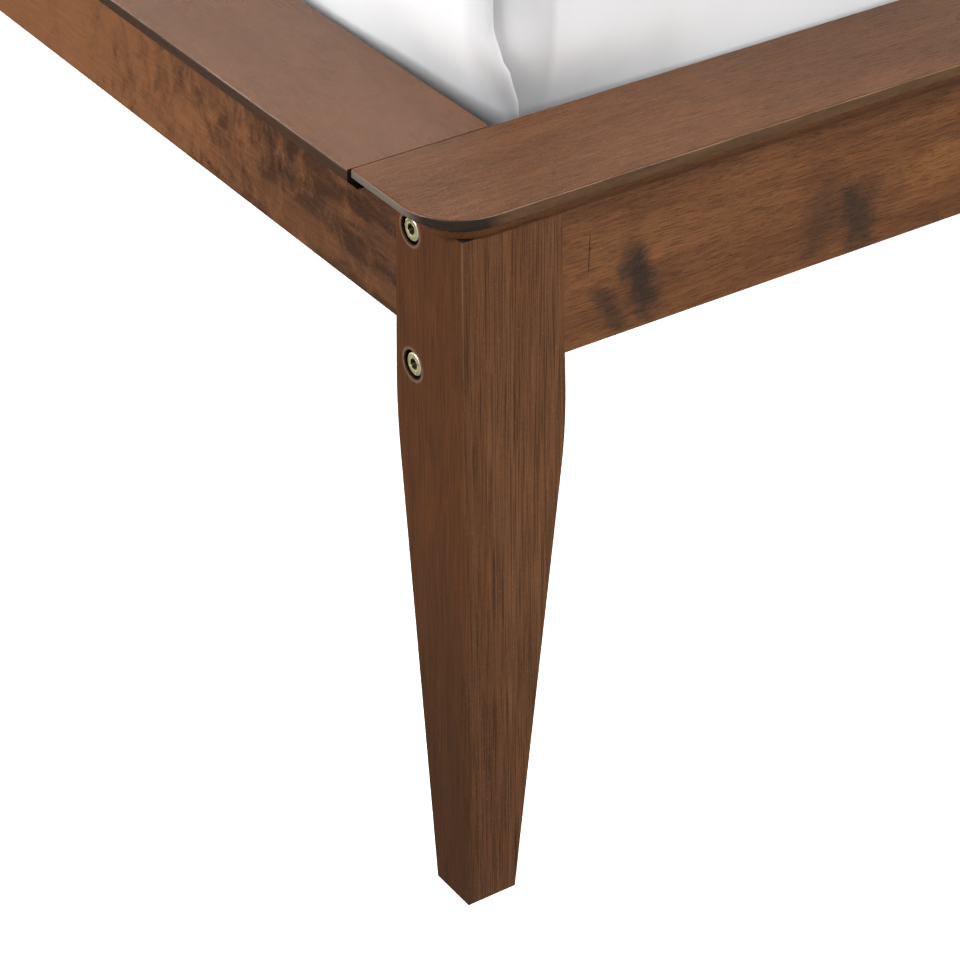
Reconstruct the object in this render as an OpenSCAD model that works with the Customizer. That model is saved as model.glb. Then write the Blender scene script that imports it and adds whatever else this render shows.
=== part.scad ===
// Wooden platform bed with capped rails, tapered corner legs and a
// backward-curved headboard.  Millimetres, +Z up, width along X, foot end at -Y.
// Origin: on the floor, at the centre of the whole bed's box.

/* [Mattress] */
// Width of the mattress
mattress_w = 1524; // [1370:1:1930]
// Length of the mattress
mattress_l = 2032; // [1900:1:2130]
// Height of the mattress
mattress_h = 250; // [180:1:320]
// Gap between the mattress and the inner edges of the side caps
side_gap = 10.5; // [6:0.5:20]
// Gap between the mattress and the foot cap
foot_gap = 10; // [6:0.5:20]
// Gap between the mattress and the headboard
head_gap = 8; // [5:0.5:20]

/* [Legs] */
// Width of a corner leg at its top
leg_top = 60; // [56:0.5:70]
// Width of a corner leg at its widest, the knee
leg_knee = 64; // [60.5:0.5:76]
// Width of a corner leg at the floor
leg_foot = 31.5; // [25:0.5:45]
// Height of the knee above the floor
knee_z = 296; // [240:1:300]
// Height of a corner leg, floor to the underside of the caps
leg_h = 423; // [415:1:450]
// Length of the blend each side of the knee
knee_t = 26; // [10:1:40]

/* [Rails and caps] */
// Thickness of the rails
rail_t = 25; // [22:0.5:30]
// Height of the rails
rail_h = 109; // [100:1:115]
// Thickness of the cap boards
cap_t = 13; // [12:0.5:18]
// Height of the plumb part of the side cap's outer edge
cap_land = 7; // [6:0.5:9]
// Foot cap past the front of the legs
front_over = 5; // [3:0.5:12]
// Foot cap past the sides of the legs
end_over = 16.5; // [14:0.5:25]
// Side cap past the sides of the legs
side_over = 18.5; // [17:0.5:30]
// Inner edge of the foot cap, from the front of the legs
foot_cap_in = 75.5; // [72:0.5:90]
// Inner edge of the side caps, from the sides of the legs
side_cap_in = 67.5; // [65:0.5:80]
// Corner radius of the foot cap
cap_r = 33; // [28:1:40]

/* [Bolts] */
// Diameter of the bolt heads
bolt_head_d = 13; // [12:0.5:14]
// Diameter of the counterbores
cbore_d = 16.5; // [15:0.5:18]
// Upper bolt, below the underside of the caps
bolt_a = 14; // [13:0.5:20]
// Lower bolt, below the underside of the caps
bolt_b = 93; // [80:0.5:95]

/* [Headboard] */
// Height at which the headboard starts to lean back
curve_z = 600; // [560:5:700]
// Radius of the headboard's front surface
curve_r = 460; // [400:5:600]
// Angle through which the headboard curves
curve_a = 52; // [40:1:60]
// Radius of the scrolls on the posts
scroll_r = 46; // [42:1:55]

/* [Deck] */
// Thickness of the slats
slat_t = 18; // [15:1:22]
// Width of the slats
slat_w = 70; // [50:1:90]
// Top of the slats below the tops of the rails
deck_drop = 51; // [48:1:56]
// Width of the centre beam
beam_w = 40; // [36:1:60]
// Width of the square centre legs
mid_leg_w = 45; // [40:1:60]
// Travel of the screw-out feet
leveller_travel = 15; // [10:1:20]

/* [Hidden] */
$fn = 64;
e = 0.01;
M8 = 8; M8_hole = 8.6;
end_t = 5;                                   // foot cap thickness over the lap
lap_y = 40;                                  // front end of the lap, from the legs' front
rail_in = leg_top - rail_t;                  // recess of the rails behind the legs' faces
xl = mattress_w/2 + side_gap + side_cap_in;  // leg side faces at +-xl
top_z = leg_h + cap_t;
rail_z = leg_h - rail_h;
ym_rel = foot_cap_in + foot_gap;             // mattress foot end, from the legs' front
yh_rel = ym_rel + mattress_l + head_gap;     // front of the head posts, from the legs' front
rm = curve_r - 22;
scr_u = curve_r - rm*cos(curve_a);           // scroll centre behind the posts' front
scr_z = curve_z + rm*sin(curve_a);
over_l = front_over + yh_rel + scr_u + scroll_r;
yl = -over_l/2 + front_over;                 // front faces of the foot legs
ym = yl + ym_rel;
yh = yl + yh_rel;
deck_z = leg_h - deck_drop;                  // top of the slats
slat_z = deck_z - slat_t;                    // top of the cleats and the beam
mat_z = deck_z + 2;
bolt_y = rail_in + rail_t/2;
bolt_z = [leg_h - bolt_a, leg_h - bolt_b];
hook_z = [leg_h - 77, leg_h - 38];           // undersides of the hooks' roots
pair_z = leg_h - 54;                         // screw pair between the hooks
end_screw_z = [leg_h - 91, leg_h - 17];      // screws above and below the hooks
n_slats = 13;
slat_y = [for (i = [0:n_slats-1]) yl + 120 + i*(yh_rel - 190)/(n_slats-1)];
mid_y = [yl + yh_rel*0.24, yl + yh_rel*0.52, yl + yh_rel*0.8];
walnut = [0.36, 0.2, 0.12];
walnut2 = [0.42, 0.25, 0.17];
pine = [0.78, 0.62, 0.42];
zinc = [0.72, 0.62, 0.32];
steel = [0.6, 0.6, 0.62];

// ---------- helpers ----------
module both() { children(); mirror([1,0,0]) children(); }
module boxat(a, b) { translate(a) cube(b - a); }
// cylinder from point a along axis "x", "y" or "z" for length l (may be negative)
module rod(a, ax, l, d) {
  translate(a)
    rotate(ax == "x" ? [0, 90, 0] : ax == "y" ? [-90, 0, 0] : [0, 0, 0])
      translate([0, 0, min(0, l)]) cylinder(d = d, h = abs(l));
}

// ---------- corner legs ----------
// side view of a leg: outer face plumb at 0, inner face with a soft knee
function unit(v) = v/norm(v);
module leg2d() {
  K = [leg_knee, knee_z];
  d1 = unit([leg_top, leg_h] - K);
  d2 = unit([leg_foot, 0] - K);
  half = acos(d1*d2)/2;
  bis = unit(d1 + d2);
  R = knee_t*tan(half);
  difference() {
    polygon([[0, 0], [leg_foot, 0], K, [leg_top, leg_h], [0, leg_h]]);
    difference() {
      polygon([K + d1*knee_t, K - bis*3, K + d2*knee_t]);
      translate(K + bis*knee_t/cos(half)) circle(R, $fn = 200);
    }
  }
}
module along_y(h) { translate([0, h, 0]) rotate([90, 0, 0]) linear_extrude(h) children(); }
module along_x(h) { rotate([90, 0, 90]) linear_extrude(h) children(); }
module leg_blank() {
  intersection() {
    along_y(leg_knee + 10) leg2d();
    along_x(leg_knee + 10) leg2d();
  }
}
module bolt_holes(d) {
  for (z = bolt_z) {
    rod([-1, d, z], "x", 9.8, cbore_d);
    rod([5, d, z], "x", leg_knee + 10, M8_hole);
  }
}
// the pockets for the slotted plate and the hooks, in the face that meets the side rail
module plate_pocket() {
  boxat([rail_in + 2.3, leg_top - 3.5, rail_z + 9.7], [leg_top - 2.3, leg_top + 8, leg_h - 9.7]);
  for (z = hook_z)
    boxat([bolt_y - 3.2, leg_top - 18, z - 10], [bolt_y + 3.2, leg_top, z + 17]);
  for (dx = [-5.5, 5.5]) rod([bolt_y + dx, leg_top, pair_z], "y", -24, 4);
}
module foot_leg_blank() { translate([-xl, yl, 0]) leg_blank(); }
module foot_leg() {
  color(walnut) difference() {
    foot_leg_blank();
    translate([-xl, yl, 0]) {
      bolt_holes(bolt_y);
      plate_pocket();
      rod([leg_top/2 + 8, 22, leg_h - 16], "z", 30, 8);
    }
  }
}
module foot_leg_left() { foot_leg(); }
module foot_leg_right() { mirror([1,0,0]) foot_leg(); }

// ---------- head posts ----------
module ring2d(r1, c1, r2, c2) {
  intersection() {
    difference() {
      translate([c1, curve_z]) circle(r1, $fn = 240);
      translate([c2, curve_z]) circle(r2, $fn = 240);
    }
    polygon([[curve_r, curve_z], [curve_r - 2000, curve_z],
      [curve_r - 2000*cos(curve_a/2), curve_z + 2000*sin(curve_a/2)],
      [curve_r - 2000*cos(curve_a), curve_z + 2000*sin(curve_a)]]);
  }
}
module post_side2d() {
  translate([leg_top, 0]) mirror([1, 0]) leg2d();
  translate([0, leg_h - 1]) square([leg_top, curve_z - leg_h + 1]);
  translate([0, curve_z - 1]) square([leg_top, 1.5]);
  ring2d(curve_r, curve_r, curve_r - 20, leg_top + curve_r - 20);
  translate([scr_u, scr_z]) circle(scroll_r, $fn = 96);
}
module head_post_blank() {
  translate([-xl, yh, 0]) intersection() {
    union() {
      translate([0, -100, 0]) along_y(500) leg2d();
      boxat([0, -100, leg_h - 1], [leg_top, 400, 1200]);
    }
    along_x(leg_knee + 10) post_side2d();
  }
}
module head_post() {
  color(walnut) difference() {
    head_post_blank();
    translate([-xl, yh, 0]) {
      for (z = bolt_z) {
        rod([-1, rail_t/2, z], "x", 9.8, cbore_d);
        rod([5, rail_t/2, z], "x", leg_knee + 10, M8_hole);
      }
      translate([0, leg_top, 0]) mirror([0, 1, 0]) plate_pocket();
      rod([leg_top - 21, 23, leg_h + 22], "x", 40, 8);
      rod([leg_top - 21, 23, leg_h + 56], "x", 40, 8);
      rod([leg_top - 21, scr_u, scr_z], "x", 40, 12);
    }
  }
}
module head_post_left() { head_post(); }
module head_post_right() { mirror([1,0,0]) head_post(); }

// ---------- rails ----------
module leg_cut() { both() foot_leg_blank(); }
module nut_holes() {
  for (z = bolt_z) {
    rod([-xl + leg_top - 6, yl + bolt_y, z], "x", 62, M8_hole);
    rod([-xl + leg_top + 40, yl + leg_top + 1, z], "y", -(rail_t - 2), 14.3);
  }
}
module foot_rail() {
  color(walnut) difference() {
    boxat([-xl + leg_top - 5, yl + rail_in, rail_z], [xl - leg_top + 5, yl + leg_top, leg_h]);
    leg_cut();
    both() nut_holes();
    for (x = foot_dowel_x) rod([x, yl + bolt_y, leg_h - 18], "z", 30, 8);
    for (x = [-35, 35], z = [slat_z - 30, slat_z + 8]) rod([x, yl + leg_top + 1, z], "y", -15, 4);
  }
}
foot_dowel_x = [for (i = [-3:3]) i*220];
side_dowel_y = [for (i = [0:7]) yl + 190 + i*(yh_rel - 330)/7];
cleat_screw_y = [for (i = [0:6]) yl + 185 + i*(yh_rel - 310)/6 + 37];
module side_rail() {
  color(walnut) difference() {
    boxat([-xl + rail_in, yl + leg_top - 5, rail_z], [-xl + leg_top, yh + 5, leg_h]);
    foot_leg_blank();
    head_post_blank();
    rail_plate_cut();
    translate([0, yl + yh + leg_top, 0]) mirror([0, 1, 0]) rail_plate_cut();
    for (y = side_dowel_y) rod([-xl + bolt_y, y, leg_h - 18], "z", 30, 8);
    for (y = cleat_screw_y) rod([-xl + leg_top + 1, y, slat_z - 15], "x", -17, 4);
  }
}
module rail_plate_cut() {
  translate([-xl, yl, 0]) {
    boxat([rail_in + 2.3, leg_top - 6, rail_z + 9.7], [leg_top - 2.3, leg_top + 3.4, leg_h - 9.7]);
    for (z = end_screw_z) rod([bolt_y, leg_top, z], "y", 28, 4);
    for (dx = [-5.5, 5.5]) rod([bolt_y + dx, leg_top, pair_z], "y", 28, 4);
  }
}
module side_rail_left() { side_rail(); }
module side_rail_right() { mirror([1,0,0]) side_rail(); }
module head_rail() {
  color(walnut) difference() {
    boxat([-xl + leg_top - 5, yh, rail_z], [xl - leg_top + 5, yh + rail_t, leg_h]);
    both() head_post_blank();
    both() for (z = bolt_z) {
      rod([-xl + leg_top - 6, yh + rail_t/2, z], "x", 62, M8_hole);
      rod([-xl + leg_top + 40, yh - 1, z], "y", rail_t - 2, 14.3);
    }
    for (x = [-35, 35], z = [slat_z - 30, slat_z + 8]) rod([x, yh - 1, z], "y", 15, 4);
  }
}

// ---------- caps ----------
module cap2d(over, r, inset_y) {
  x = xl + over;
  difference() {
    translate([-x, yl - front_over + inset_y]) square([2*x, foot_cap_in + front_over - inset_y]);
    both2d() difference() {
      translate([-x - 1, yl - front_over + inset_y - 1]) square(r + 1);
      translate([-x + r, yl - front_over + inset_y + r]) circle(r, $fn = 96);
    }
  }
}
module both2d() { children(); mirror([1, 0]) children(); }
module foot_cap() {
  color(walnut2) difference() {
    union() {
      translate([0, 0, top_z - end_t]) linear_extrude(end_t) cap2d(end_over, cap_r, 0);
      translate([0, 0, leg_h]) linear_extrude(cap_t - end_t) difference() {
        cap2d(end_over - 8, cap_r - 7, 0.7);
        both2d() translate([-xl - 60, yl + lap_y]) square([100.5, 60]);
      }
    }
    for (x = foot_dowel_x) rod([x, yl + bolt_y, leg_h - 1], "z", 10, 8);
    both() rod([-xl + leg_top/2 + 8, yl + 22, leg_h - 1], "z", 10, 8);
  }
}
module side_cap2d(o, z1) {
  polygon([[-xl - o, leg_h + cap_t - cap_land], [-xl - o, z1], [-xl + side_cap_in, z1],
    [-xl + side_cap_in, leg_h], [-xl - o + cap_t - cap_land, leg_h]]);
}
module side_cap() {
  color(walnut2) difference() {
    union() {
      translate([0, yl + foot_cap_in + 0.7, 0]) along_y(yh_rel - foot_cap_in - 0.7) side_cap2d(side_over, top_z);
      intersection() {
        translate([0, yl + lap_y + 0.5, 0]) along_y(60) side_cap2d(end_over - 9, top_z - end_t - 0.2);
        boxat([-xl - 60, yl, 0], [-xl + 40, yl + foot_cap_in + 2, top_z]);
      }
    }
    for (y = side_dowel_y) rod([-xl + bolt_y, y, leg_h - 1], "z", 10, 8);
  }
}
module side_cap_left() { side_cap(); }
module side_cap_right() { mirror([1,0,0]) side_cap(); }

// ---------- headboard ----------
module headboard_base_rail() {
  color(walnut) difference() {
    boxat([-xl + leg_top, yh + 8, leg_h], [xl - leg_top, yh + 38, 500]);
    both() {
      rod([-xl + leg_top - 1, yh + 23, leg_h + 22], "x", 26, 8);
      rod([-xl + leg_top - 1, yh + 23, leg_h + 56], "x", 26, 8);
    }
  }
}
module headboard_panel() {
  color(walnut2) translate([-xl + leg_top, yh, 0]) along_x(2*(xl - leg_top)) difference() {
    union() {
      translate([12, 500]) square([18, curve_z - 500 + 0.5]);
      ring2d(curve_r - 12, curve_r, curve_r - 30, curve_r);
    }
    translate([scr_u, scr_z]) circle(scroll_r - 6, $fn = 96);
  }
}
module headboard_roll() {
  color(walnut) difference() {
    rod([-xl + leg_top, yh + scr_u, scr_z], "x", 2*(xl - leg_top), 2*(scroll_r - 6));
    both() rod([-xl + leg_top - 1, yh + scr_u, scr_z], "x", 31, 12);
  }
}

// ---------- deck ----------
module slat_cleat() {
  color(pine) difference() {
    boxat([-xl + leg_top, yl + 90, slat_z - 30], [-xl + leg_top + 25, yh - 12, slat_z]);
    for (y = cleat_screw_y) {
      rod([-xl + leg_top - 1, y, slat_z - 15], "x", 30, 4);
      translate([-xl + leg_top + 25, y, slat_z - 15]) rotate([0, -90, 0]) cylinder(d1 = 8.2, d2 = 3, h = 4.2);
    }
    for (k = [0, n_slats-1]) rod([-xl + leg_top + 12.5, slat_y[k], slat_z + 1], "z", -19, 3.5);
  }
}
module slat_cleat_left() { slat_cleat(); }
module slat_cleat_right() { mirror([1,0,0]) slat_cleat(); }
module slat(i) {
  color(pine) difference() {
    boxat([-xl + leg_top + 2, slat_y[i] - slat_w/2, slat_z], [xl - leg_top - 2, slat_y[i] + slat_w/2, deck_z]);
    if (i == 0 || i == n_slats-1) both() {
      rod([-xl + leg_top + 12.5, slat_y[i], slat_z - 1], "z", slat_t + 2, 3.5);
      translate([-xl + leg_top + 12.5, slat_y[i], deck_z]) rotate([180, 0, 0]) cylinder(d1 = 7.2, d2 = 3, h = 3.6);
    }
  }
}
module slat_tape(s) {
  color([0.85, 0.84, 0.8])
    boxat([s*420 - 15, slat_y[0] - 30, deck_z], [s*420 + 15, slat_y[n_slats-1] + 30, deck_z + 1.2]);
}
module slat_screws() {
  color(steel) both() for (k = [0, n_slats-1]) {
    rod([-xl + leg_top + 12.5, slat_y[k], deck_z - 3], "z", -30, 3.5);
    translate([-xl + leg_top + 12.5, slat_y[k], deck_z - 0.3]) rotate([180, 0, 0]) cylinder(d1 = 6.6, d2 = 3.2, h = 3);
  }
}
module centre_beam() {
  color(pine) difference() {
    boxat([-beam_w/2, yl + leg_top + 0.5, rail_z], [beam_w/2, yh - 0.5, slat_z]);
    for (y = mid_y) rod([0, y, rail_z - 1], "z", 29, 8);
    for (s = [0, 1], x = [-10, 10]) translate([x, s ? yh - 30 : yl + leg_top + 30, rail_z - 1]) cylinder(d = 4, h = 16);
  }
}
// folded steel saddle that carries one end of the beam, at the origin of its rail
module hanger() {
  difference() {
    union() {
      boxat([-48, 0, rail_z - 2.2], [48, 2.2, slat_z + 16]);
      boxat([-beam_w/2 - 2.6, 0, rail_z - 2.5], [beam_w/2 + 2.6, 55, rail_z - 0.3]);
      both() boxat([-beam_w/2 - 2.6, 0, rail_z - 2.5], [-beam_w/2 - 0.4, 55, slat_z - 4]);
    }
    boxat([-beam_w/2 - 0.4, -1, rail_z - 0.3], [beam_w/2 + 0.4, 60, slat_z + 0.4]);
    for (x = [-35, 35], z = [slat_z - 30, slat_z + 8]) rod([x, -1, z], "y", 5, 4.4);
    for (x = [-10, 10]) rod([x, 30, rail_z - 5], "z", 10, 4.4);
  }
}
module beam_hanger_foot() { color(steel) translate([0, yl + leg_top, 0]) hanger(); }
module beam_hanger_head() { color(steel) translate([0, yh, 0]) mirror([0, 1, 0]) hanger(); }
module hanger_screws() {
  color(steel) for (s = [0, 1]) translate([0, s ? yh : yl + leg_top, 0]) mirror([0, s, 0]) {
    for (x = [-35, 35], z = [slat_z - 30, slat_z + 8]) {
      rod([x, 2.2, z], "y", -14, 3.8);
      rod([x, 2.2, z], "y", 2, 8);
    }
    for (x = [-10, 10]) {
      rod([x, 30, rail_z - 2.5], "z", 14, 3.8);
      rod([x, 30, rail_z - 2.5], "z", -2, 8);
    }
  }
}
module centre_leg(i) {
  color(pine) difference() {
    boxat([-mid_leg_w/2, mid_y[i] - mid_leg_w/2, 10], [mid_leg_w/2, mid_y[i] + mid_leg_w/2, rail_z]);
    rod([0, mid_y[i], 9], "z", 21.1, 16);
    rod([0, mid_y[i], 9], "z", 50, 11);
    rod([0, mid_y[i], rail_z + 1], "z", -43, 8);
  }
}
module leveller(i) {
  color([0.16, 0.16, 0.17]) translate([0, mid_y[i], 0]) {
    rotate_extrude() polygon([[0, 0], [15, 0], [17, 2], [17, 6], [15, 9], [4.95, 9], [4.95, 50], [4, 52], [0, 52]]);
  }
}
module leveller_inserts() {
  color(steel) for (y = mid_y) difference() {
    rod([0, y, 10], "z", 20, 16);
    rod([0, y, 9], "z", 22, 10);
  }
}
module centre_leg_bolts() {
  color(steel) for (y = mid_y) rod([0, y, rail_z - 40], "z", 66, 8);
}

// ---------- bolts and fittings ----------
// socket-head bolt along +X, head at the origin
module bolt(l) {
  difference() {
    rotate([0, 90, 0]) rotate_extrude()
      polygon([[0, 0], [bolt_head_d/2 - 0.7, 0], [bolt_head_d/2, 0.7], [bolt_head_d/2, 8], [4, 8], [4, 8 + l], [0, 8 + l]]);
    rotate([0, 90, 0]) translate([0, 0, -1]) cylinder(d = 6/cos(30), h = 5.2, $fn = 6);
  }
}
module foot_bolts() {
  color(zinc) both() for (z = bolt_z) translate([-xl + 0.7, yl + bolt_y, z]) bolt(100);
}
module head_bolts() {
  color(zinc) both() for (z = bolt_z) translate([-xl + 0.7, yh + rail_t/2, z]) bolt(100);
}
module barrel(y0) {
  for (z = bolt_z) difference() {
    rod([-xl + leg_top + 40, y0, z], "y", 18, 14);
    rod([-xl + leg_top + 20, y0 + 9, z], "x", 40, 8.1);
  }
}
module foot_barrel_nuts() { color(steel) both() barrel(yl + bolt_y - 9); }
module head_barrel_nuts() { color(steel) both() barrel(yh + rail_t/2 - 9); }
module slot_plate() {
  difference() {
    boxat([rail_in + 2.5, leg_top - 3.2, rail_z + 10], [leg_top - 2.5, leg_top - 0.2, leg_h - 10]);
    for (z = hook_z)
      boxat([bolt_y - 2.4, leg_top - 9, z - 9], [bolt_y + 2.4, leg_top + 1, z + 16]);
    for (dx = [-5.5, 5.5]) rod([bolt_y + dx, leg_top + 1, pair_z], "y", -10, 4);
  }
}
module hook_plate() {
  difference() {
    boxat([rail_in + 2.5, leg_top + 0.1, rail_z + 10], [leg_top - 2.5, leg_top + 3.1, leg_h - 10]);
    for (z = end_screw_z) rod([bolt_y, leg_top - 1, z], "y", 10, 4);
    for (dx = [-5.5, 5.5]) rod([bolt_y + dx, leg_top - 1, pair_z], "y", 10, 4);
  }
  for (z = hook_z)
    translate([bolt_y - 1.5, leg_top, z]) along_x(3)
      polygon([[0.1, 0], [0.1, 14], [-13, 14], [-13, -8], [-5, -8], [-5, 0]]);
}
module four_corners() {
  both() {
    translate([-xl, yl, 0]) children();
    translate([-xl, yh, 0]) mirror([0, 1, 0]) translate([0, -leg_top, 0]) children();
  }
}
module rail_hook_plates() {
  color(steel) both() {
    translate([-xl, yl, 0]) hook_plate();
    translate([-xl, yh, 0]) mirror([0, 1, 0]) translate([0, -leg_top, 0]) hook_plate();
  }
}
module leg_slot_plates() {
  color(steel) both() {
    translate([-xl, yl, 0]) slot_plate();
    translate([-xl, yh, 0]) mirror([0, 1, 0]) translate([0, -leg_top, 0]) slot_plate();
  }
}
module plate_screws() {
  color(steel) four_corners() {
    for (z = end_screw_z) rod([bolt_y, leg_top + 0.3, z], "y", 26, 3.8);
    for (dx = [-5.5, 5.5]) {
      rod([bolt_y + dx, leg_top + 0.3, pair_z], "y", 26, 3.8);
      rod([bolt_y + dx, leg_top - 0.4, pair_z], "y", -22, 3.8);
    }
  }
}
module cleat_screws() {
  color(steel) both() for (y = cleat_screw_y) {
    rod([-xl + leg_top + 22, y, slat_z - 15], "x", -38, 3.8);
    translate([-xl + leg_top + 24.8, y, slat_z - 15]) rotate([0, -90, 0]) cylinder(d1 = 7.6, d2 = 2.8, h = 3.9);
  }
}
module cap_dowels() {
  color(pine) {
    for (x = foot_dowel_x) rod([x, yl + bolt_y, leg_h - 17], "z", 25.5, 8);
    both() rod([-xl + leg_top/2 + 8, yl + 22, leg_h - 15], "z", 23.5, 8);
    both() for (y = side_dowel_y) rod([-xl + bolt_y, y, leg_h - 17], "z", 25.5, 8);
  }
}
module rail_dowels() {
  color(pine) both() {
    rod([-xl + leg_top - 20, yh + 23, leg_h + 22], "x", 44, 8);
    rod([-xl + leg_top - 20, yh + 23, leg_h + 56], "x", 44, 8);
    rod([-xl + leg_top - 20, yh + scr_u, scr_z], "x", 49, 12);
  }
}

// ---------- bedding ----------
module rbox2d(w, l, r) {
  difference() {
    translate([-w/2, -l/2]) square([w, l]);
    for (sx = [-1, 1], sy = [-1, 1]) translate([sx*(w/2 - r), sy*(l/2 - r)]) difference() {
      translate([sx > 0 ? 0 : -r - 1, sy > 0 ? 0 : -r - 1]) square(r + 1);
      circle(r, $fn = 48);
    }
  }
}
sheet_t = 1.2;
module mattress() {
  color([0.93, 0.93, 0.92]) translate([0, ym + mattress_l/2, mat_z])
    linear_extrude(mattress_h - sheet_t - 0.3) rbox2d(mattress_w - 2*sheet_t - 0.6, mattress_l - 2*sheet_t - 0.6, 30);
}
module fitted_sheet() {
  color([0.97, 0.97, 0.97]) translate([0, ym + mattress_l/2, mat_z + 0.5]) difference() {
    linear_extrude(mattress_h - 0.5) rbox2d(mattress_w, mattress_l, 31);
    translate([0, 0, -1]) linear_extrude(mattress_h - 0.5 - sheet_t + 1) rbox2d(mattress_w - 2*sheet_t, mattress_l - 2*sheet_t, 30);
  }
}

foot_leg_left();
foot_leg_right();
foot_rail();
foot_cap();
side_rail_left();
side_rail_right();
side_cap_left();
side_cap_right();
head_post_left();
head_post_right();
head_rail();
headboard_base_rail();
headboard_panel();
headboard_roll();
slat_cleat_left();
slat_cleat_right();
centre_beam();
beam_hanger_foot();
beam_hanger_head();
centre_leg(0);  // centre_leg_foot
centre_leg(1);  // centre_leg_middle
centre_leg(2);  // centre_leg_head
leveller(0);  // leveller_foot
leveller(1);  // leveller_middle
leveller(2);  // leveller_head
leveller_inserts();
centre_leg_bolts();
slat(0);  // slat_01
slat(1);  // slat_02
slat(2);  // slat_03
slat(3);  // slat_04
slat(4);  // slat_05
slat(5);  // slat_06
slat(6);  // slat_07
slat(7);  // slat_08
slat(8);  // slat_09
slat(9);  // slat_10
slat(10);  // slat_11
slat(11);  // slat_12
slat(12);  // slat_13
slat_tape(-1);  // slat_tape_left
slat_tape(1);  // slat_tape_right
slat_screws();
foot_bolts();
foot_barrel_nuts();
head_bolts();
head_barrel_nuts();
rail_hook_plates();
leg_slot_plates();
plate_screws();
cleat_screws();
hanger_screws();
cap_dowels();
rail_dowels();
mattress();
fitted_sheet();
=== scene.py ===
import math

import bmesh
import bpy
import numpy as np
from mathutils import Matrix, Vector


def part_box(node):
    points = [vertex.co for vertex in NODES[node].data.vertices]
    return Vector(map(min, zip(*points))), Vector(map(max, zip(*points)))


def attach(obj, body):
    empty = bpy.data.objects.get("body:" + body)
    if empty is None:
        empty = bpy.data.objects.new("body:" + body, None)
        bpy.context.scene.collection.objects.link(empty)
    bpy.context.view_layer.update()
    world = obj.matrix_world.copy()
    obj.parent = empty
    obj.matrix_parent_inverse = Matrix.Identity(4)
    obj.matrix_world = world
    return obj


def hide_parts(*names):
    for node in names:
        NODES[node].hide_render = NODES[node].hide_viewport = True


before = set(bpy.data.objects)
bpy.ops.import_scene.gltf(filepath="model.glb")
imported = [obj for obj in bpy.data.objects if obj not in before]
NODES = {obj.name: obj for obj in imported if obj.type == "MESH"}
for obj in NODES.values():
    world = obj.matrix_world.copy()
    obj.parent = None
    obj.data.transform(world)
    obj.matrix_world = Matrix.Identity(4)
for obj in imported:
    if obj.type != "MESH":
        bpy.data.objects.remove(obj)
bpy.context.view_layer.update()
scene = bpy.context.scene


# ------------------------------------------------------------------ camera
def solved_camera():
    yaw, pitch, roll = (math.radians(a) for a in (33.57, 32.97, -0.41))
    h = Vector((math.sin(yaw), math.cos(yaw), 0))
    f = h * math.cos(pitch) - Vector((0, 0, 1)) * math.sin(pitch)
    r = Vector((math.cos(yaw), -math.sin(yaw), 0))
    u = r.cross(f)
    r2 = r * math.cos(roll) + u * math.sin(roll)
    u2 = u * math.cos(roll) - r * math.sin(roll)
    data = bpy.data.cameras.new("camera")
    data.sensor_width = 36.0
    data.lens = 120.87
    data.clip_end = 200.0
    cam = bpy.data.objects.new("camera", data)
    cam.matrix_world = Matrix.Translation((-1.6005, -2.3390, 1.1846)) @ Matrix(
        ((r2.x, u2.x, -f.x), (r2.y, u2.y, -f.y), (r2.z, u2.z, -f.z))
    ).to_4x4()
    scene.collection.objects.link(cam)
    scene.camera = cam


solved_camera()


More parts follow.
